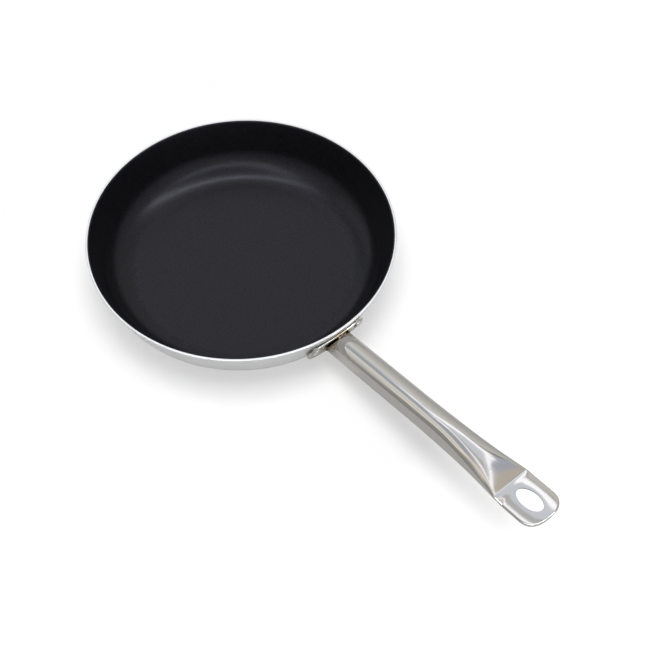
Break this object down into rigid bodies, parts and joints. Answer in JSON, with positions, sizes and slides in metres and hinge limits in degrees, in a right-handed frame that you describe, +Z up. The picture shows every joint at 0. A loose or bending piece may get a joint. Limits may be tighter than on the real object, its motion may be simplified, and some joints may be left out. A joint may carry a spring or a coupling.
{
  "type": "omelette pan",
  "caption": "Round shallow pan with a thin sloping wall and dark non-stick lining, and a rising tube handle pressed into a flat end with an oval hanging hole.",
  "frame": {"origin": "centre of the flat underside of the base, on the surface that the pan stands on", "axes": "+Z up out of the bowl, +X from the bowl's centre towards the end of the handle"},
  "size_m": [0.4833, 0.2598, 0.0629],
  "materials": {
    "satin_aluminium": "satin, fine spun lines round the bowl, bright cut edge on the rim",
    "nonstick_ptfe": "sprayed and baked dark grey non-stick lining, low sheen",
    "bracket_steel": "satin stainless sheet with heat tint beside the weld",
    "rivet_aluminium": "plain pressed heads",
    "handle_steel": "polished stainless tube",
    "weld_steel": "dark uncleaned weld"
  },
  "bodies": {
    "root": {"pan_body": "satin_aluminium", "nonstick_coating": "nonstick_ptfe", "mounting_plate": "bracket_steel", "rivet_left": "rivet_aluminium", "rivet_right": "rivet_aluminium", "handle_tube": "handle_steel", "weld_bead": "weld_steel"}
  },
  "joints": []
}
